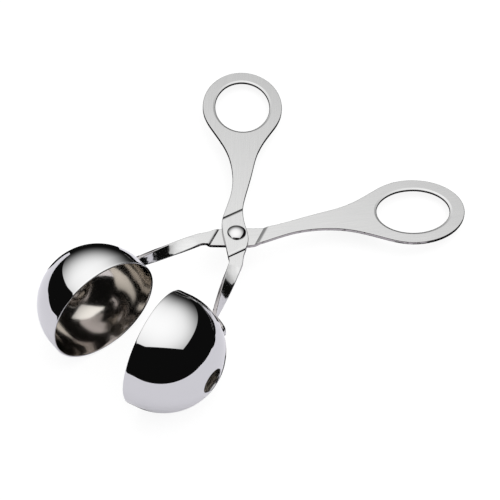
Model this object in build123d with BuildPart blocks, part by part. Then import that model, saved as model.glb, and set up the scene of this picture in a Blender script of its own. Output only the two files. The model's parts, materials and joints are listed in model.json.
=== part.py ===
from build123d import *
from math import asin, atan2, cos, degrees, hypot, radians, sin, sqrt
import os

# Meatball tongs: two equal steel arms crossed at one rivet, each with half a ball mould welded to its end.
# All lengths are in millimetres and all angles in degrees.
# The tool stands on its two bowls, and its handles slope down to the table, as it lies when it is put down.

# The mould
ball_diameter = 45.0
bowl_wall = 0.8
bowl_lip = 4.2
rim_gap_when_closed = 0.3
vent_hole_diameter = 10.4
vent_hole_angle = 7.5

# The strip that both arms are stamped from
strip_thickness = 1.6
neck_width = 6.2
front_width = 5.5
foot_width = 4.9

# The arm's plan, measured from the pivot
bowl_distance = 65.0
handle_distance = 74.5
handle_bend = 26.5
opening_angle = 22.7

# The finger ring at the arm's end
ring_hole_length = 30.8
ring_hole_width = 23.6
ring_end_width = 6.2
ring_side_width = 5.4

# The joggle, whose folds run aslant so that the crossing arm lies along them
joggle_front_length = 7.9
joggle_rear_length = 8.7
joggle_front_ramp = 0.75
joggle_rear_ramp = 1.6
lobe_length = 8.9
fold_slant = 35.0
fold_radius = 0.25
lobe_width = 10.6

# The front of the arm, which leaves the handle's line at the front corner, makes a quarter twist
# all the way to the bend on to the bowl, where its foot is welded
front_corner_distance = 16.5
twist_angle = 90.0
twist_sections = 9
foot_bend_radius = 3.0
foot_start_angle = 24.0
foot_wrap_angle = 16.0
foot_corner_radius = 2.0

# The rivet
rivet_diameter = 4.0
rivet_clearance = 0.05
arm_clearance = 0.1
rivet_head_diameter = 7.6
rivet_head_height = 1.9
rivet_head_wall = 0.3
rivet_head_edge_radius = 0.15
formed_head_diameter = 6.8
formed_head_height = 1.2
formed_head_wall = 0.7
formed_head_chamfer = 0.25

# How far a cutting body runs past what it cuts
overrun = 5.0

# Stations of the shank: distance from the pivot as a share of handle_distance,
# then the middle and the width of the strip there as shares of neck_width.
shank_shares = (
    (0.780, 0.02, 3.85),
    (0.625, 0.13, 2.13),
    (0.470, 0.19, 1.35),
    (0.313, 0.03, 1.01),
)

# Points of the lobe round the rivet: distance along the arm as a share of lobe_length,
# then the distance to the side as a share of lobe_width.
outer_lobe_shares = ((-1.53, 0.20), (-0.48, 0.32), (0.39, 0.46), (1.30, 0.31))
inner_lobe_shares = ((-1.53, -0.46), (-0.70, -0.58), (0.22, -0.49), (0.80, -0.38), (1.30, -0.29))

ball_radius = ball_diameter / 2
bowl_radius = ball_radius + bowl_wall
half_thickness = strip_thickness / 2
half_opening = opening_angle / 2
joggle_offset = half_thickness + arm_clearance / 2
rivet_hole_radius = rivet_diameter / 2 + rivet_clearance
ring_length = ring_hole_length + 2 * ring_end_width
ring_width = ring_hole_width + 2 * ring_side_width


def heading(angle):
    """The unit vector at this angle from X in the arm's plan."""
    return Vector(cos(radians(angle)), sin(radians(angle)))


# The arm's own plan: X runs from the ring to the front, and Y towards the outside of the bowl.
# The bowl stands at minus handle_bend from X, so that both handles spread away from the bowls' line.
bowl_line = heading(-handle_bend)
bowl_outward = heading(90 - handle_bend)
ball_offset = bowl_lip + rim_gap_when_closed / 2
ball_centre = bowl_line * bowl_distance + bowl_outward * ball_offset

# The foot's middle line is an arc about the ball's centre. It starts foot_start_angle from the rim.
foot_line_radius = bowl_radius + half_thickness
foot_start = 180 - handle_bend - foot_start_angle
foot_heading = foot_start - 90
foot_point = ball_centre + heading(foot_start) * foot_line_radius
bend_centre = foot_point + heading(foot_heading + 90) * foot_bend_radius

# The twist's middle line runs from the front corner to where it touches the bend before the foot.
front_corner = Vector(front_corner_distance, 0)
front_reach_line = bend_centre - front_corner
twist_length = sqrt(front_reach_line.length**2 - foot_bend_radius**2)
front_angle = degrees(
    atan2(front_reach_line.Y, front_reach_line.X) - asin(foot_bend_radius / front_reach_line.length)
)
front_heading = heading(front_angle)
front_normal = heading(front_angle + 90)
bend_point = bend_centre - front_normal * foot_bend_radius

# How the tool lies on the table. Its long axis is Y, with the handles at plus Y.
# The height is set for closed handles, which reach furthest out, so that no pose goes into the table.


def ring_reach(angle_from_axis):
    """How far the ring's end lies from the pivot along the long axis, with the handle at this angle."""
    along = ring_length / 2 * cos(radians(angle_from_axis))
    across = ring_width / 2 * sin(radians(angle_from_axis))
    return handle_distance * cos(radians(angle_from_axis)) + hypot(along, across)


rest_handle_angle = half_opening + handle_bend
ball_reach = bowl_distance * cos(radians(half_opening)) - ball_offset * sin(radians(half_opening))
table_span = ball_reach + ring_reach(rest_handle_angle - opening_angle)
table_slope = asin(bowl_radius / hypot(table_span, half_thickness)) - atan2(half_thickness, table_span)
pivot_height = bowl_radius - ball_reach * sin(table_slope)

rim_centre_reach = bowl_distance * cos(radians(half_opening)) * cos(table_slope)
rim_reach = bowl_radius * sqrt(1 - (sin(radians(half_opening)) * cos(table_slope)) ** 2)
front_reach = rim_centre_reach + rim_reach
back_reach = ring_reach(rest_handle_angle) * cos(table_slope) + half_thickness * sin(table_slope)
pivot_setback = (front_reach - back_reach) / 2

long_axis = Vector(0, cos(table_slope), -sin(table_slope))
pivot_axis = Vector(0, sin(table_slope), cos(table_slope))
pivot_place = Vector(0, pivot_setback, pivot_height)


def arm_plane(side):
    """The plane of one arm: side is 1 for the arm that lies above at the pivot, and -1 for the one below."""
    angle = radians(half_opening + handle_bend)
    towards_front = Vector(1, 0, 0) * side * sin(angle) - long_axis * cos(angle)
    return Plane(origin=pivot_place, x_dir=towards_front, z_dir=pivot_axis * side)


def plane_in(plane, origin, x_dir, z_dir):
    """A plane that is given in the coordinates of another plane."""
    return Plane(plane.location * Plane(origin=origin, x_dir=x_dir, z_dir=z_dir).location)


def edge_points(side, lobe_shares):
    """Points of one long edge of the blank, from the ring to the front. side is 1 on the bowl's outer side."""
    points = [(-handle_distance, side * ring_width / 2)]
    for along, middle, width in shank_shares:
        points.append((-handle_distance * along, neck_width * (middle + side * width / 2)))
    for along, across in lobe_shares:
        points.append((lobe_length * along, lobe_width * across))
    corner = front_corner + front_normal * side * front_width / 2
    points.append((corner.X, corner.Y))
    return points


def twist_section(plane, share):
    """The strip's cross-section at this share of the twist, on a plane square to the stretch."""
    turn = radians(twist_angle) * share
    place = front_corner + front_heading * twist_length * share
    across = front_normal * cos(turn) - Vector(0, 0, 1) * sin(turn)
    width = foot_width + (front_width - foot_width) * (1 - share) ** 3
    with BuildSketch(plane_in(plane, place, across, front_heading)) as section:
        Rectangle(width, strip_thickness)
    return section.sketch


def make_arm(side):
    """One arm, from its finger ring to its weld foot."""
    plane = arm_plane(side)
    profile_plane = plane_in(plane, (0, 0, 0), heading(fold_slant), -heading(fold_slant + 90))
    reach = handle_distance + ring_length
    depth = joggle_offset + strip_thickness + overrun

    with BuildPart() as arm:
        # The flat blank, cut much deeper than the strip is thick
        with BuildSketch(plane):
            with BuildLine():
                outer_edge = Spline(
                    edge_points(1, outer_lobe_shares), tangents=[Vector(1, 0), front_heading]
                )
                inner_edge = Spline(
                    edge_points(-1, inner_lobe_shares), tangents=[Vector(1, 0), front_heading]
                )
                Line(outer_edge @ 1, inner_edge @ 1)
                EllipticalCenterArc(
                    (-handle_distance, 0), ring_length / 2, ring_width / 2, start_angle=90, arc_size=180
                )
            make_face()
            with Locations((-handle_distance, 0)):
                Ellipse(ring_hole_length / 2, ring_hole_width / 2, mode=Mode.SUBTRACT)
        extrude(amount=depth, both=True)

        # The joggled sheet, seen along its folds, of which the blank's outline is kept
        with BuildSketch(profile_plane):
            with BuildLine():
                sheet_line = FilletPolyline(
                    (-reach, 0),
                    (-joggle_rear_length - joggle_rear_ramp, 0),
                    (-joggle_rear_length, joggle_offset),
                    (joggle_front_length, joggle_offset),
                    (joggle_front_length + joggle_front_ramp, 0),
                    (reach, 0),
                    radius=fold_radius + half_thickness,
                )
            trace(sheet_line, line_width=strip_thickness)
        extrude(amount=reach, both=True, mode=Mode.INTERSECT)

        # The quarter twist
        loft([twist_section(plane, number / (twist_sections - 1)) for number in range(twist_sections)])

        # The bend and the foot, which stand on edge
        with BuildSketch(plane):
            with BuildLine():
                bend = JernArc(
                    (bend_point.X, bend_point.Y), front_heading, foot_bend_radius, foot_heading - front_angle
                )
                wrap = JernArc(bend @ 1, bend % 1, foot_line_radius, -foot_wrap_angle)
            trace(line_width=strip_thickness)
        extrude(amount=foot_width / 2, both=True)
        foot_end = arm.faces().sort_by_distance(plane.from_local_coords(wrap @ 1))[0]
        fillet(foot_end.edges().sort_by(SortBy.LENGTH)[:2], foot_corner_radius)

        # The rivet's hole
        with BuildSketch(plane):
            Circle(rivet_hole_radius)
        extrude(amount=depth, both=True, mode=Mode.SUBTRACT)
    return arm


def make_bowl(side):
    """One half of the mould: a drawn half-ball with a straight lip, punched near its pole with a vent hole."""
    plane = arm_plane(side)
    bowl_plane = plane_in(plane, ball_centre, bowl_line, (0, 0, 1))
    vent_direction = heading(90 - handle_bend - vent_hole_angle)

    with BuildPart() as bowl:
        with BuildSketch(bowl_plane):
            with BuildLine():
                outside = RadiusArc((0, bowl_radius), (bowl_radius, 0), bowl_radius)
                inside = RadiusArc((ball_radius, 0), (0, ball_radius), -ball_radius)
                Polyline(outside @ 1, (bowl_radius, -bowl_lip), (ball_radius, -bowl_lip), inside @ 0)
                Line(inside @ 1, outside @ 0)
            make_face()
        revolve(axis=Axis(bowl_plane.origin, bowl_plane.y_dir))

        with BuildSketch(plane_in(plane, ball_centre, (0, 0, 1), vent_direction)):
            Circle(vent_hole_diameter / 2)
        extrude(amount=bowl_radius + overrun, mode=Mode.SUBTRACT)
    return bowl


def make_rivet():
    """The rivet: a shank, a domed head above both arms and a formed head below them."""
    plane = arm_plane(1)
    head_seat = strip_thickness + arm_clearance / 2
    formed_seat = head_seat + rivet_clearance
    head_radius = rivet_head_diameter / 2
    formed_radius = formed_head_diameter / 2
    shank_radius = rivet_diameter / 2
    section_plane = plane_in(plane, (0, 0, 0), (1, 0, 0), (0, -1, 0))

    with BuildPart() as rivet:
        with BuildSketch(section_plane) as section:
            with BuildLine():
                ThreePointArc(
                    (-head_radius, head_seat + rivet_head_wall),
                    (0, head_seat + rivet_head_height),
                    (head_radius, head_seat + rivet_head_wall),
                )
                ThreePointArc(
                    (-formed_radius, -formed_seat - formed_head_wall),
                    (0, -formed_seat - formed_head_height),
                    (formed_radius, -formed_seat - formed_head_wall),
                )
                for outward in (1, -1):
                    Polyline(
                        (outward * head_radius, head_seat + rivet_head_wall),
                        (outward * head_radius, head_seat),
                        (outward * shank_radius, head_seat),
                        (outward * shank_radius, -formed_seat),
                        (outward * formed_radius, -formed_seat),
                        (outward * formed_radius, -formed_seat - formed_head_wall),
                    )
            make_face()
            fillet(section.vertices().group_by(Axis.Y)[-1], rivet_head_edge_radius)
            chamfer(section.vertices().group_by(Axis.Y)[0], formed_head_chamfer)
            split(bisect_by=Plane.YZ)
        revolve(axis=Axis(section_plane.origin, section_plane.y_dir))
    return rivet


upper_arm = make_arm(1)
upper_arm.part.label = "upper_arm"
lower_arm = make_arm(-1)
lower_arm.part.label = "lower_arm"
upper_arm_bowl = make_bowl(1)
upper_arm_bowl.part.label = "upper_arm_bowl"
lower_arm_bowl = make_bowl(-1)
lower_arm_bowl.part.label = "lower_arm_bowl"
pivot_rivet = make_rivet()
pivot_rivet.part.label = "pivot_rivet"

os.makedirs("parts", exist_ok=True)
export_step(upper_arm.part, "parts/upper_arm.step")
export_step(lower_arm.part, "parts/lower_arm.step")
export_step(upper_arm_bowl.part, "parts/upper_arm_bowl.step")
export_step(lower_arm_bowl.part, "parts/lower_arm_bowl.step")
export_step(pivot_rivet.part, "parts/pivot_rivet.step")

print("pivot at", pivot_place, "axis", pivot_axis, "slope", round(degrees(table_slope), 3))
print("bowl rim", rim_gap_when_closed, "apart when closed by", opening_angle, "degrees")
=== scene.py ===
# %% [markdown]
# A meatball maker: two half-ball bowls on a pair of scissor arms, all of stainless steel.
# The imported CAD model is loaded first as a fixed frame. Every finer piece below takes
# the place of one of its nodes and rides on the same moving half of the tool.

# %% The frame
import bpy
import bmesh
import json
import math
from mathutils import Matrix, Vector


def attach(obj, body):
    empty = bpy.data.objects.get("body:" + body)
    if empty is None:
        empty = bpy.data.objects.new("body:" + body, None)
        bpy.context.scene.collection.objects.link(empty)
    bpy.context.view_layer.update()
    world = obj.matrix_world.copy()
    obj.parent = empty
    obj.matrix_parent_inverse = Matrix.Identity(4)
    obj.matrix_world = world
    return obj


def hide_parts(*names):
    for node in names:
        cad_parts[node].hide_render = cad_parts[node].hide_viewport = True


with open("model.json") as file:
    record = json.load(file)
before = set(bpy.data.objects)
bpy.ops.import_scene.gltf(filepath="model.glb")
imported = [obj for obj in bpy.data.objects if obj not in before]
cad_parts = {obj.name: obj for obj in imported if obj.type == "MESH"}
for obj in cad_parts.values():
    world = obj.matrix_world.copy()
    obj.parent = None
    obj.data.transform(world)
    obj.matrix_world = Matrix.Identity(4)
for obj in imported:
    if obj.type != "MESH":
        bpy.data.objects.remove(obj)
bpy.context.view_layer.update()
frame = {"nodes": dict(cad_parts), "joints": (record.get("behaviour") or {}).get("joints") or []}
nodes = frame["nodes"]

# %% [markdown]
# Real sizes are easiest to think of in millimetres, and Blender works in metres here.
# Hex colours are how a screen names them, and a shader needs them as linear light, so one
# function turns the first into the second by the screen's own curve. A second function
# adds every node below: what goes into a socket is a plain value, another node's first
# output, or one output picked by name.

# %% Units, colours and nodes
MM = 0.001
MATH = "ShaderNodeMath"
VECTOR_MATH = "ShaderNodeVectorMath"
MAP_RANGE = "ShaderNodeMapRange"


def linear(hex_colour):
    parts = [int(hex_colour[i:i + 2], 16) / 255 for i in (1, 3, 5)]
    light = [c / 12.92 if c <= 0.04045 else ((c + 0.055) / 1.055) ** 2.4 for c in parts]
    return (*light, 1.0)


def add_node(tree, kind, inputs=None, **settings):
    node = tree.nodes.new(kind)
    for name, value in settings.items():
        setattr(node, name, value)
    for name, value in (inputs or {}).items():
        if isinstance(value, bpy.types.Node):
            value = value.outputs[0]
        if isinstance(value, bpy.types.NodeSocket):
            tree.links.new(value, node.inputs[name])
        else:
            node.inputs[name].default_value = value
    return node


def new_material(name):
    material = bpy.data.materials.new(name)
    material.use_nodes = True
    material.node_tree.nodes.clear()
    return material, material.node_tree


print("mid grey in linear light", round(linear("#808080")[0], 3))

# %% [markdown]
# The joint gives the tool's own directions: its axis is the rivet's line. The tool lies
# on the table with its bowls as feet, so that line leans a little towards the handles.

# %% The tool's own directions
joint = frame["joints"][0]
pivot = Vector(joint["pos_m"])
tool_up = Vector(joint["axis"]).normalized()
tool_right = Vector((1, 0, 0))
tool_away = tool_up.cross(tool_right)
print("pivot", pivot, "leans by", round(math.degrees(tool_up.angle((0, 0, 1))), 2), "degrees")

# %% [markdown]
# A long lens from above and to the right, as in the photograph. The angles are turns about
# the tool's own directions, and the two shifts put the pivot at its place in the picture.

# %% Camera
camera_turn = math.radians(36.03)
camera_height_angle = math.radians(48.89)
camera_roll = math.radians(-4.58)
camera_distance = 607.41 * MM
pivot_right = -5.4545 * MM
pivot_up = 5.8996 * MM
camera_lens = 108.6
camera_film = 36
nearest_seen, farthest_seen = 0.01, 50

seen_right = math.cos(camera_turn) * tool_right + math.sin(camera_turn) * tool_away
seen_away = -math.sin(camera_turn) * tool_right + math.cos(camera_turn) * tool_away
view_back = -math.cos(camera_height_angle) * seen_away + math.sin(camera_height_angle) * tool_up
level_up = view_back.cross(seen_right)
view_right = math.cos(camera_roll) * seen_right - math.sin(camera_roll) * level_up
view_up = math.sin(camera_roll) * seen_right + math.cos(camera_roll) * level_up
view_axes = Matrix((view_right, view_up, view_back)).transposed().to_4x4()
eye = pivot - pivot_right * view_right - pivot_up * view_up + camera_distance * view_back

lens = bpy.data.cameras.new("long_lens")
lens.lens = camera_lens
lens.sensor_width = camera_film
lens.clip_start = nearest_seen
lens.clip_end = farthest_seen
camera = bpy.data.objects.new("camera", lens)
camera.matrix_world = Matrix.Translation(eye) @ view_axes
bpy.context.scene.collection.objects.link(camera)
bpy.context.scene.camera = camera
print("camera at", eye)

# %% [markdown]
# Polished steel is a picture of the room, so the room matters as much as the metal.
# The studio is dark, with white paper in front of the tool and under it, and one big
# white cloth overhead that hangs down behind and grows dim towards the floor. One glowing
# paint draws cloth and dark walls by direction: three straight edges cut the cloth out,
# and its light falls off away from its brightest point. Area lamps could make the same
# picture, but three straight edges are easier to place as directions.

# %% Studio cloth
wall_brightness = 0.006
cloth_colour = "#fffffe"
cloth_brightness = 1.58
cloth_front_edge = Vector((-0.507, 0.746, 0.431))
cloth_right_edge = Vector((-0.668, -0.063, 0.742))
cloth_left_edge = Vector((0.194, 0.756, 0.626))
cloth_edge_softness = 0.004
cloth_brightest = Vector((-0.176, 0.181, 0.968))
cloth_fade_from, cloth_fade_to = -0.073, 0.842
cloth_falloff = 0.907
cloth_falloff_power = 1.16


def dome_paint():
    material, tree = new_material("studio_cloth_and_dark_walls")
    coordinates = add_node(tree, "ShaderNodeTexCoord")
    direction = add_node(tree, VECTOR_MATH, {0: coordinates.outputs["Object"]},
                         operation="NORMALIZE")
    factors = []
    for edge in (cloth_front_edge, cloth_right_edge, cloth_left_edge):
        side = add_node(tree, VECTOR_MATH, {0: direction, 1: edge.normalized()},
                        operation="DOT_PRODUCT")
        factors.append(add_node(tree, MAP_RANGE, {"Value": side.outputs["Value"],
                                                  "From Min": -cloth_edge_softness,
                                                  "From Max": cloth_edge_softness}))
    facing = add_node(tree, VECTOR_MATH, {0: direction, 1: cloth_brightest},
                      operation="DOT_PRODUCT").outputs["Value"]
    factors.append(add_node(tree, MAP_RANGE, {"Value": facing, "From Min": cloth_fade_from,
                                              "From Max": cloth_fade_to},
                            interpolation_type="SMOOTHSTEP"))
    away = add_node(tree, MATH, {0: 1.0, 1: facing}, operation="SUBTRACT", use_clamp=True)
    dim = add_node(tree, MATH, {0: away, 1: cloth_falloff_power}, operation="POWER")
    factors.append(add_node(tree, MAP_RANGE, {"Value": dim, "To Min": 1.0,
                                              "To Max": 1.0 - cloth_falloff}))
    light = factors[0]
    for factor in factors[1:]:
        light = add_node(tree, MATH, {0: light, 1: factor}, operation="MULTIPLY")
    strength = add_node(tree, MAP_RANGE, {"Value": light, "To Min": wall_brightness,
                                          "To Max": cloth_brightness})
    glow = add_node(tree, "ShaderNodeEmission", {"Color": linear(cloth_colour),
                                                 "Strength": strength})
    add_node(tree, "ShaderNodeOutputMaterial", {"Surface": glow})
    return material


cloth_and_walls = dome_paint()
print(cloth_and_walls.name)

# %% [markdown]
# The paint needs something to hang on, and a ball round the bowls shows every direction
# in one piece. The camera looks through it at a white backdrop, it throws no shadow and
# lights nothing matt: only mirror rays see it. It is little more than half a metre wide
# to each side, so the far handle mirrors another part of the cloth than the near one,
# as it does under a real cloth. The world's background would have no such distance.

# %% Studio dome
dome_radius = 0.58
dome_centre = Vector((0, -58 * MM, 23 * MM))
dome_columns, dome_rows = 96, 48


def make_dome():
    mesh = bpy.data.meshes.new("studio_dome")
    shell = bmesh.new()
    bmesh.ops.create_uvsphere(shell, u_segments=dome_columns, v_segments=dome_rows,
                              radius=dome_radius)
    shell.to_mesh(mesh)
    shell.free()
    mesh.materials.append(cloth_and_walls)
    dome = bpy.data.objects.new("studio_dome", mesh)
    dome.location = dome_centre
    bpy.context.scene.collection.objects.link(dome)
    dome.visible_camera = False
    dome.visible_diffuse = False
    dome.visible_shadow = False


make_dome()
print("dome of", dome_radius, "m round", dome_centre)

# %% [markdown]
# The table keeps the tool's shadow, and its colour is lifted to white for the camera. The
# metal mirrors it as pale paper, darker where the tool stands in its own light, and this
# paper is a cool white, which the steel turns to pale lavender. So one matt paint has two
# colours and two lifts, and Light Path tells it who is looking. A brighter lamp would
# whiten the table as well, and burn the tool out with it.

# %% Table paint
table_grey = "#7c7c7c"
mirror_paper = "#eeecf4"
camera_lift = 0.88
mirror_lift = 0.2


def table_paint():
    material, tree = new_material("pale_table_paint")
    rays = add_node(tree, "ShaderNodeLightPath").outputs
    mirror = add_node(tree, MATH, {0: rays["Is Glossy Ray"], 1: rays["Is Transmission Ray"]},
                      operation="MAXIMUM")
    mirrored = add_node(tree, MATH, {0: mirror, 1: mirror_lift}, operation="MULTIPLY")
    lift = add_node(tree, MATH, {0: rays["Is Camera Ray"], 1: camera_lift, 2: mirrored},
                    operation="MULTIPLY_ADD")
    colour = add_node(tree, "ShaderNodeMix", {0: mirror, 6: linear(table_grey),
                                              7: linear(mirror_paper)}, data_type="RGBA")
    matt = add_node(tree, "ShaderNodeBsdfDiffuse", {"Color": colour.outputs[2]})
    glow = add_node(tree, "ShaderNodeEmission", {"Strength": lift})
    both = add_node(tree, "ShaderNodeAddShader", {0: matt, 1: glow})
    add_node(tree, "ShaderNodeOutputMaterial", {"Surface": both})
    return material


paint = table_paint()
print(paint.name)

# %% [markdown]
# What mirror rays see of the table ends where the paper in the photograph's studio ends:
# behind the tool is a dark floor, and that draws the black bands on the bowls. So a sheet
# of paper lies on the table for every ray, and the wide table round it is hidden from
# mirror rays. The sheet's corners are in millimetres from the tool's middle, and each was
# placed where the edge of a band on a bowl mirrors it. Close to the tool the outline is cut
# in, behind the left bowl, between the bowls and under the pivot, so that the steel mirrors
# the dark floor there: these holes are painted shade, standing in for the tool's own shadow
# on the paper. A plain square would be quicker, but every band on the bowls would then run
# another way.

# %% Table and paper
table_reach = 3000
table_height, paper_height = -0.05, 0
# Near the tool these corners cut holes in the paper: painted shade, where the steel mirrors dark
# in place of the tool's shadow.
paper_outline_and_shade_holes = [
    (-1500, -1000), (-348, -169), (-265, -60), (-233, 5), (-183, 14), (-112, -14), (-104, -22),
    (-100, -34), (-97, -42), (-85, -47), (-68, -50), (-54, -50), (-46, -40), (-47, -12),
    (-58, 15), (-50, 18), (-42, 22), (-32, 20), (-24, 8), (-20, -15), (-18, -50), (-6, -62),
    (2, -78), (20, -78), (32, -60), (38, -48), (38, -40), (36, -31), (21, -28), (17, -20),
    (20, -6), (12, -5), (4, 0), (-3, 12), (0, 29), (9, 37), (21, 36), (28, 27), (39, 31),
    (47, 35), (53, 38), (60, 43), (67, 50), (80, 46), (116, 58), (174, 95), (262, 102),
    (520, 90), (2000, 60), (2000, -2000), (-1500, -2000)]


def flat_sheet(name, outline, height, paint):
    mesh = bpy.data.meshes.new(name)
    sheet = bmesh.new()
    corners = [sheet.verts.new((x * MM, y * MM, height * MM)) for x, y in outline]
    edges = [sheet.edges.new((a, b)) for a, b in zip(corners, corners[1:] + corners[:1])]
    bmesh.ops.triangle_fill(sheet, edges=edges, use_beauty=True, normal=(0, 0, 1))
    sheet.to_mesh(mesh)
    sheet.free()
    mesh.materials.append(paint)
    piece = bpy.data.objects.new(name, mesh)
    bpy.context.scene.collection.objects.link(piece)
    return piece


table_outline = [(-table_reach, -table_reach), (table_reach, -table_reach),
                 (table_reach, table_reach), (-table_reach, table_reach)]
table = flat_sheet("pale_table", table_outline, table_height, paint)
table.visible_glossy = False
table.visible_transmission = False
paper = flat_sheet("paper", paper_outline_and_shade_holes, paper_height, paint)
print("table", 2 * table_reach, "mm wide, paper of", len(paper.data.polygons), "triangles")

# %% [markdown]
# The photograph's background is plain white. So the world is white for the camera and for
# mirror rays that miss everything else, and less than half as strong for what it lights,
# because a stronger one would wash the shadow on the table out.

# %% Backdrop
backdrop_white = 1.0
backdrop_light = 0.45


def make_backdrop():
    world = bpy.data.worlds.new("white_backdrop")
    world.use_nodes = True
    tree = world.node_tree
    tree.nodes.clear()
    rays = add_node(tree, "ShaderNodeLightPath").outputs
    seen = rays["Is Camera Ray"]
    for ray in ("Is Glossy Ray", "Is Transmission Ray"):
        seen = add_node(tree, MATH, {0: seen, 1: rays[ray]}, operation="MAXIMUM")
    strength = add_node(tree, MAP_RANGE, {"Value": seen, "To Min": backdrop_light,
                                          "To Max": backdrop_white})
    background = add_node(tree, "ShaderNodeBackground", {"Strength": strength})
    add_node(tree, "ShaderNodeOutputWorld", {"Surface": background})
    bpy.context.scene.world = world


make_backdrop()
print("world", bpy.context.scene.world.name)

# %% [markdown]
# One wide soft lamp straight above lights what isn't a mirror, which here is the table.
# It is hidden from mirror rays, so it adds no second highlight to the steel.

# %% Lamp
lamp_strength = 1.75
lamp_spread = math.radians(70)
lamp_lean = (math.radians(-12), math.radians(8), 0)

lamp = bpy.data.lights.new("soft_overhead", "SUN")
lamp.energy = lamp_strength
lamp.angle = lamp_spread
overhead = bpy.data.objects.new("soft_overhead", lamp)
overhead.rotation_euler = lamp_lean
overhead.visible_glossy = False
bpy.context.scene.collection.objects.link(overhead)
print("lamp", lamp.energy)

# %% [markdown]
# The whole tool is one metal, austenitic stainless steel, and the finishes differ only by
# what was done to it last. Outside, each bowl was spun against a buffing wheel until it
# became a mirror: a neutral metal with almost no roughness.

# %% Mirror-polished steel
def polished_steel():
    material, tree = new_material("mirror_polished_stainless_steel")
    shader = add_node(tree, "ShaderNodeBsdfPrincipled",
                      {"Base Color": linear("#cdcdce"), "Metallic": 1.0, "Roughness": 0.02})
    add_node(tree, "ShaderNodeOutputMaterial", {"Surface": shader})
    return material


polished = polished_steel()
print(polished.name)

# %% [markdown]
# Inside, a bowl keeps the skin that the drawing press left. It is duller and a little
# warmer, and faint waves from the press stretch and smear what it mirrors. Two layers of
# noise do this: a slow one bends the surface by less than a tenth of a millimetre, and a
# fine one changes how rough it is.

# %% Drawn steel
press_wave = 9.0
wave_depth = 0.3
wave_strength = 0.28
skin_grain = 1.2
drawn_roughness = (0.09, 0.15)


def drawn_steel():
    material, tree = new_material("drawn_stainless_steel")
    place = add_node(tree, "ShaderNodeTexCoord").outputs["Object"]
    wave = add_node(tree, "ShaderNodeTexNoise",
                    {"Vector": place, "Scale": 1 / (press_wave * MM), "Detail": 1.0})
    grain = add_node(tree, "ShaderNodeTexNoise",
                     {"Vector": place, "Scale": 1 / (skin_grain * MM), "Detail": 2.0})
    dull = add_node(tree, MAP_RANGE, {"Value": grain, "To Min": drawn_roughness[0],
                                      "To Max": drawn_roughness[1]})
    bend = add_node(tree, "ShaderNodeBump",
                    {"Height": wave, "Strength": wave_strength, "Distance": wave_depth * MM})
    shader = add_node(tree, "ShaderNodeBsdfPrincipled",
                      {"Base Color": linear("#ccc7c1"), "Metallic": 1.0, "Roughness": dull,
                       "Normal": bend})
    add_node(tree, "ShaderNodeOutputMaterial", {"Surface": shader})
    return material


drawn = drawn_steel()
print(drawn.name)

# %% [markdown]
# The arms were ground on a belt and lightly buffed, which leaves a soft shine with a fine
# grain along the strip. The grain follows the strip's own length, so each arm carries a
# flat map of itself, made with the arm, and the noise is drawn long and thin on that map.
# A real scratch is a few hundredths of a millimetre wide, far too fine to show here, so
# the grain is drawn half a millimetre wide.

# %% Satin steel
grain_width = 0.5
grain_length = 14.0
satin_roughness = (0.08, 0.16)


def satin_steel():
    material, tree = new_material("satin_ground_stainless_steel")
    strip_map = add_node(tree, "ShaderNodeUVMap", uv_map="strip")
    long_grain = add_node(tree, "ShaderNodeMapping",
                          {"Vector": strip_map,
                           "Scale": (1 / (grain_length * MM), 1 / (grain_width * MM), 1)})
    grain = add_node(tree, "ShaderNodeTexNoise",
                     {"Vector": long_grain, "Scale": 1.0, "Detail": 3.0})
    shade = add_node(tree, "ShaderNodeMix", {0: grain, 6: linear("#bdbdbe"),
                                             7: linear("#cdcdcd")}, data_type="RGBA")
    dull = add_node(tree, MAP_RANGE, {"Value": grain, "To Min": satin_roughness[0],
                                      "To Max": satin_roughness[1]})
    shader = add_node(tree, "ShaderNodeBsdfPrincipled",
                      {"Base Color": shade.outputs[2], "Metallic": 1.0, "Roughness": dull})
    add_node(tree, "ShaderNodeOutputMaterial", {"Surface": shader})
    return material


satin = satin_steel()
print(satin.name)

# %% [markdown]
# The punch left the strip's narrow edges as it cut them: half sheared and half torn, and
# only brushed over by the belt. They are duller than the faces. Their darker colour is partly
# their own and partly painted shade, for the dark lines where an edge meets the other arm
# or looks down at the floor under the handle.

# %% Blanked edges, with painted shade
def blanked_steel_and_painted_shade():
    material, tree = new_material("blanked_steel_edge_and_painted_shade")
    # The edge colour is partly the sheared steel's own tone and partly painted shade along the
    # edges.
    shader = add_node(tree, "ShaderNodeBsdfPrincipled",
                      {"Base Color": linear("#a5a1a2"), "Metallic": 1.0, "Roughness": 0.12})
    add_node(tree, "ShaderNodeOutputMaterial", {"Surface": shader})
    return material


blanked_edge_and_shade = blanked_steel_and_painted_shade()
print(blanked_edge_and_shade.name)

# %% [markdown]
# Each arm lies in a plane of its own through the pivot: x runs along the handle's line to
# the front, y towards the outside of the bowl, and z is the rivet's line. The lower arm is
# the upper one turned over, so all that differs is a sign.

# %% The arms' planes
SIDES = {"upper": 1, "lower": -1}
half_opening = 11.35
handle_bend = 26.5


def arm_axes(side):
    angle = math.radians(half_opening + handle_bend)
    x = side * math.sin(angle) * tool_right - math.cos(angle) * tool_away
    z = side * tool_up
    return x, z.cross(x), z


def in_arm(side, along, across):
    x, y, z = arm_axes(side)
    return pivot + (along * x + across * y) * MM


for half, side in SIDES.items():
    print(half, "arm points along", arm_axes(side)[0])

# %% [markdown]
# A bowl is a half-ball with a short straight lip and a round hole near its pole, and its
# shape follows one rule all the way: rings that start as the hole's circle, widen into the
# ball's equator and then slide down the lip. Geometry Nodes can say exactly that for any
# point of a flat grid: across, the grid goes once round the ball, and down, each row's
# place is a blend of the two circles, pushed out to the ball's radius. A ball cut by a
# Boolean would have the same shape, but a ragged edge at the hole and a pinched pole.

# %% Places on a bowl
bowl_inputs = {"Outside radius": 23.3 * MM, "Lip": 4.2 * MM, "Hole radius": 5.2 * MM,
               "Hole tilt": math.radians(7.5), "Rows on the ball": 56, "Rows on the lip": 4,
               "Columns": 224}


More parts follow.
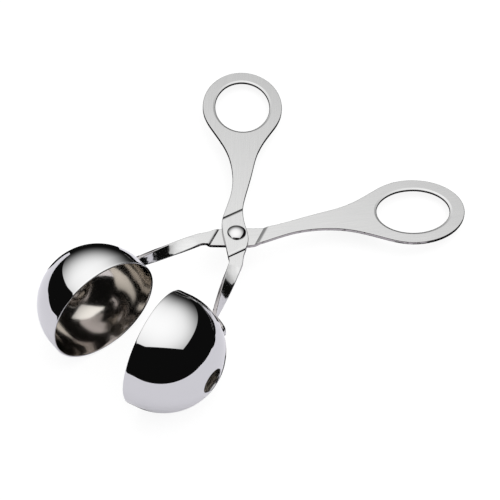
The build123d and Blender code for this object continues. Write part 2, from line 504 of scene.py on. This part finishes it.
def bowl_places(tree, given, rows):
    position = add_node(tree, "GeometryNodeInputPosition")
    place = add_node(tree, "ShaderNodeSeparateXYZ", {0: position})
    turn = add_node(tree, MATH, {0: place.outputs["X"], 1: math.tau, 2: math.pi},
                    operation="MULTIPLY_ADD")
    cosine = add_node(tree, MATH, {0: turn}, operation="COSINE")
    sine = add_node(tree, MATH, {0: turn}, operation="SINE")
    down = add_node(tree, MATH, {0: place.outputs["Y"], 1: 0.5}, operation="ADD")
    row = add_node(tree, MATH, {0: down, 1: rows}, operation="MULTIPLY")
    on_ball = add_node(tree, MATH, {0: row, 1: given["Rows on the ball"]},
                       operation="DIVIDE", use_clamp=True)
    past = add_node(tree, MATH, {0: row, 1: given["Rows on the ball"]}, operation="SUBTRACT")
    on_lip = add_node(tree, MATH, {0: past, 1: given["Rows on the lip"]},
                      operation="DIVIDE", use_clamp=True)

    hole_sine = add_node(tree, MATH, {0: given["Hole radius"], 1: given["Outside radius"]},
                         operation="DIVIDE")
    hole_angle = add_node(tree, MATH, {0: hole_sine}, operation="ARCSINE")
    hole_cosine = add_node(tree, MATH, {0: hole_angle}, operation="COSINE")
    hole_x = add_node(tree, MATH, {0: cosine, 1: hole_sine}, operation="MULTIPLY")
    hole_y = add_node(tree, MATH, {0: sine, 1: hole_sine}, operation="MULTIPLY")
    hole_circle = add_node(tree, "ShaderNodeCombineXYZ",
                           {"X": hole_x, "Y": hole_y, "Z": hole_cosine})
    tilted = add_node(tree, "ShaderNodeVectorRotate",
                      {"Vector": hole_circle, "Angle": given["Hole tilt"]}, rotation_type="Y_AXIS")
    equator = add_node(tree, "ShaderNodeCombineXYZ", {"X": cosine, "Y": sine})
    between = add_node(tree, "ShaderNodeMix", {0: on_ball, 4: tilted, 5: equator},
                       data_type="VECTOR")
    direction = add_node(tree, VECTOR_MATH, {0: between.outputs[1]}, operation="NORMALIZE")
    ball = add_node(tree, VECTOR_MATH, {0: direction, "Scale": given["Outside radius"]},
                    operation="SCALE")
    lip_down = add_node(tree, MATH, {0: given["Lip"], 1: -1.0}, operation="MULTIPLY")
    slide = add_node(tree, MATH, {0: on_lip, 1: lip_down}, operation="MULTIPLY")
    drop = add_node(tree, "ShaderNodeCombineXYZ", {"Z": slide})
    return add_node(tree, VECTOR_MATH, {0: ball, 1: drop}, operation="ADD")


print("bowl sizes", bowl_inputs)

# %% [markdown]
# The rule itself makes the grid, moves its points to those places and welds the seam where
# the grid meets itself. All sizes are named inputs, so the same tree makes both bowls. The
# rows are even, so the mirror has no facets.

# %% Bowl rule
weld_distance = 0.002


def bowl_rule():
    tree = bpy.data.node_groups.new("bowl_rule", "GeometryNodeTree")
    for name, value in bowl_inputs.items():
        kind = "NodeSocketInt" if isinstance(value, int) else "NodeSocketFloat"
        tree.interface.new_socket(name=name, in_out="INPUT", socket_type=kind)
    tree.interface.new_socket(name="Outside finish", in_out="INPUT",
                              socket_type="NodeSocketMaterial")
    tree.interface.new_socket(name="Bowl", in_out="OUTPUT", socket_type="NodeSocketGeometry")
    given = add_node(tree, "NodeGroupInput").outputs

    rows = add_node(tree, MATH, {0: given["Rows on the ball"], 1: given["Rows on the lip"]},
                    operation="ADD")
    points_round = add_node(tree, MATH, {0: given["Columns"], 1: 1.0}, operation="ADD")
    points_down = add_node(tree, MATH, {0: rows, 1: 1.0}, operation="ADD")
    grid = add_node(tree, "GeometryNodeMeshGrid",
                    {"Size X": 1.0, "Size Y": 1.0, "Vertices X": points_round,
                     "Vertices Y": points_down})
    wrapped = add_node(tree, "GeometryNodeSetPosition",
                       {"Geometry": grid, "Position": bowl_places(tree, given, rows)})
    welded = add_node(tree, "GeometryNodeMergeByDistance",
                      {"Geometry": wrapped, "Distance": weld_distance * MM})
    outward = add_node(tree, "GeometryNodeFlipFaces", {"Mesh": welded})
    smooth = add_node(tree, "GeometryNodeSetShadeSmooth", {"Geometry": outward})
    real = add_node(tree, "GeometryNodeRealizeInstances", {"Geometry": smooth})
    dressed = add_node(tree, "GeometryNodeSetMaterial",
                       {"Geometry": real, "Material": given["Outside finish"]})
    add_node(tree, "NodeGroupOutput", {"Bowl": dressed})
    return tree


rule = bowl_rule()
print(rule.name, "has", len(rule.nodes), "nodes")

# %% [markdown]
# The rule gives the outside skin alone. A Solidify modifier gives it the sheet's 0.8 mm
# inward and the drawn skin inside, while the rims keep the polish, and a small Bevel
# breaks the rims' edges, as tumbling does on the real bowl. The result becomes a plain
# mesh, is set on its ball's centre, its mouth turned to the other bowl, and takes the
# place of the CAD bowl.

# %% Bowls
bowl_wall = 0.8
rim_round = 0.3
rim_angle = math.radians(50)
round_segments = 3
ball_along, ball_across = 60.1117, -25.1099


def plain_mesh(piece):
    shown = piece.evaluated_get(bpy.context.evaluated_depsgraph_get())
    mesh = bpy.data.meshes.new_from_object(shown)
    piece.modifiers.clear()
    piece.data = mesh
    return mesh


def make_bowl(half, side):
    mesh = bpy.data.meshes.new(half + "_arm_bowl_skin")
    bowl = bpy.data.objects.new(half + "_arm_bowl_fine", mesh)
    bpy.context.scene.collection.objects.link(bowl)
    skin = bowl.modifiers.new("skin", "NODES")
    skin.node_group = rule
    keys = {item.name: item.identifier for item in rule.interface.items_tree
            if item.in_out == "INPUT"}
    for name, value in bowl_inputs.items():
        skin[keys[name]] = value
    skin[keys["Outside finish"]] = polished
    plain_mesh(bowl)
    bowl.data.materials.append(drawn)
    wall = bowl.modifiers.new("wall", "SOLIDIFY")
    wall.thickness = bowl_wall * MM
    wall.offset = -1.0
    wall.material_offset = 1
    wall.material_offset_rim = 0
    rims = bowl.modifiers.new("rims", "BEVEL")
    rims.width = rim_round * MM
    rims.segments = round_segments
    rims.limit_method = "ANGLE"
    rims.angle_limit = rim_angle
    mesh = plain_mesh(bowl)
    x, y, z = arm_axes(side)
    turn = math.radians(handle_bend)
    to_front = math.cos(turn) * x - math.sin(turn) * y
    outward = math.sin(turn) * x + math.cos(turn) * y
    axes = Matrix((to_front, outward.cross(to_front), outward)).transposed().to_4x4()
    mesh.transform(Matrix.Translation(in_arm(side, ball_along, ball_across)) @ axes)
    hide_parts(half + "_arm_bowl")
    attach(bowl, half + "_half")
    return bowl


for half, side in SIDES.items():
    bowl = make_bowl(half, side)
    print(bowl.name, len(bowl.data.polygons), "faces")

# %% [markdown]
# An arm is one strip with two finishes: ground on its broad faces, blanked on its narrow
# edges. Up to the front corner the strip lies flat, so an edge is a face that hardly looks
# up. From there the strip turns a quarter round its own length, so its width's direction
# turns too, and an edge is a face that looks along that width.

# %% Which face is an edge
front_corner = 16.5
front_turn = math.radians(-15.4957)
twist_length = 26.5371
edge_looks_up = 0.45
edge_looks_sideways = 0.6


def strip_width_direction(side, place):
    x, y, z = arm_axes(side)
    offset = (place - pivot) / MM
    along, across = offset.dot(x) - front_corner, offset.dot(y)
    reach = (along * math.cos(front_turn) + across * math.sin(front_turn)) / twist_length
    if reach <= 0:
        return None
    turn = min(reach, 1.0) * math.pi / 2
    level = -math.sin(front_turn) * x + math.cos(front_turn) * y
    return math.cos(turn) * level - math.sin(turn) * z


def is_blanked(side, face):
    width = strip_width_direction(side, face.calc_center_median())
    if width is None:
        return abs(face.normal.dot(tool_up)) < edge_looks_up
    return abs(face.normal.dot(width)) > edge_looks_sideways


print("twist starts", front_corner, "mm from the pivot and is", twist_length, "mm long")

# %% [markdown]
# The finger hole's edge is coined after punching: a second tool presses it down all round,
# so that it doesn't cut the finger, and the slope it leaves catches the light overhead.
# The edge is bevelled on each face of the strip, and the bevel's lower line is then raised
# until the slope is shallow. The Bevel modifier alone would cut as deep as it is wide.

# %% Finger hole
ring_distance = 74.5
hole_length, hole_width = 30.8, 23.6
hole_margin = 1.05
broad_face = 0.95
coin_width = 1.05
coin_depth = 0.26
lower_line = 0.5


def hole_edges(skin, ring, x, y, z):
    found = []
    for edge in skin.edges:
        offset = ((edge.verts[0].co + edge.verts[1].co) / 2 - ring) / MM
        reach = math.hypot(2 * offset.dot(x) / hole_length, 2 * offset.dot(y) / hole_width)
        broad = {abs(face.normal.dot(z)) > broad_face for face in edge.link_faces}
        if reach < hole_margin and len(broad) == 2:
            found.append((edge, offset.dot(z)))
    return found


def coin_hole(skin, side):
    x, y, z = arm_axes(side)
    ring = in_arm(side, -ring_distance, 0)
    on_hole = hole_edges(skin, ring, x, y, z)
    middle = sum(height for edge, height in on_hole) / len(on_hole)
    for level in (1, -1):
        rim = [edge for edge, height in on_hole
               if edge.is_valid and (height - middle) * level > 0]
        cut = bmesh.ops.bevel(skin, geom=rim, offset=coin_width * MM, offset_type="OFFSET",
                              segments=1, profile=0.5, affect="EDGES", clamp_overlap=False)
        for corner in cut["verts"]:
            height = ((corner.co - ring).dot(z) / MM - middle) * level
            if height < lower_line:
                corner.co += level * (coin_width - coin_depth) * MM * z
        print(len(rim), "edges of the finger hole coined")


print("finger hole", hole_length, "by", hole_width, "mm, its slope", coin_width, "mm wide")

# %% [markdown]
# Three things are noted on an arm's mesh before it is finished. Each face gets its finish
# and its place on the strip's flat map. A fold stays a crisp line, so an edge that turns
# clearly, yet less than a cut edge does, is marked sharp. And the grinding belt takes the
# sharpness off every cut edge as far as the foot, where the bowl is in its way, so only
# those edges get a weight for the Bevel modifier. An angle alone would choose the foot's
# edges too, and the rounds would cross each other where the strip is wrapped on the ball.

# %% Finishes, folds and cut edges
fold_angle = 9
edge_angle = 38
foot_start = 41.0


def dress_faces(skin, side):
    x, y, z = arm_axes(side)
    strip = skin.loops.layers.uv.new("strip")
    for face in skin.faces:
        face.smooth = True
        face.material_index = 1 if is_blanked(side, face) else 0
        for corner in face.loops:
            offset = corner.vert.co - pivot
            corner[strip].uv = (offset.dot(x), offset.dot(y) + offset.dot(z))


def mark_edges(skin, side):
    x, y, z = arm_axes(side)
    weight = skin.edges.layers.float.new("bevel_weight_edge")
    for edge in skin.edges:
        turn = math.degrees(edge.calc_face_angle(0))
        edge.smooth = turn < fold_angle or turn > edge_angle
        if turn > edge_angle and len({face.material_index for face in edge.link_faces}) == 2:
            along = max((corner.co - pivot).dot(x) for corner in edge.verts) / MM
            edge[weight] = 0.0 if along > foot_start else 1.0


print("folds from", fold_angle, "degrees, cut edges from", edge_angle)

# %% [markdown]
# The arms' shape is all in the CAD model: ring, shank, joggle, twist and foot. What that
# model leaves out is the touch of the grinding belt, which rounds every edge a little and
# draws a thin outline round the strip. So a copy of each arm is welded, its flat faces are
# joined, its finger hole is coined, and a narrow Bevel rounds the cut edges. Weighted
# normals then keep the flats flat in the mirror. Cutting those rounds in the CAD model
# would cost thousands of faces and change no size.

# %% Arms
edge_round = 0.32
flat_angle = math.radians(0.3)


def make_arm(half, side):
    name = half + "_arm"
    mesh = nodes[name].data.copy()
    mesh.name = name + "_ground"
    mesh.materials.clear()
    for finish in (satin, blanked_edge_and_shade):
        mesh.materials.append(finish)
    skin = bmesh.new()
    skin.from_mesh(mesh)
    bmesh.ops.remove_doubles(skin, verts=skin.verts, dist=weld_distance * MM)
    bmesh.ops.dissolve_limit(skin, angle_limit=flat_angle, verts=skin.verts, edges=skin.edges)
    skin.normal_update()
    coin_hole(skin, side)
    skin.normal_update()
    dress_faces(skin, side)
    mark_edges(skin, side)
    skin.to_mesh(mesh)
    skin.free()
    arm = bpy.data.objects.new(name + "_ground", mesh)
    bpy.context.scene.collection.objects.link(arm)
    rounds = arm.modifiers.new("rounds", "BEVEL")
    rounds.width = edge_round * MM
    rounds.segments = round_segments
    rounds.limit_method = "WEIGHT"
    rounds.use_clamp_overlap = False
    flats = arm.modifiers.new("flats", "WEIGHTED_NORMAL")
    flats.keep_sharp = True
    plain_mesh(arm)
    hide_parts(name)
    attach(arm, half + "_half")
    return arm


for half, side in SIDES.items():
    arm = make_arm(half, side)
    print(arm.name, len(arm.data.polygons), "faces")

# %% [markdown]
# The rivet's head is turned and buffed bright. A lathe profile could make it anew, but its
# CAD mesh is fine enough to mirror the room cleanly, so it only gets its finish.

# %% Rivet
for place in nodes["pivot_rivet"].material_slots:
    place.material = polished
print("pivot_rivet takes", polished.name)

# %% [markdown]
# Colours are shown as they are, with the Standard view transform.


bpy.context.scene.view_settings.view_transform = "Standard"
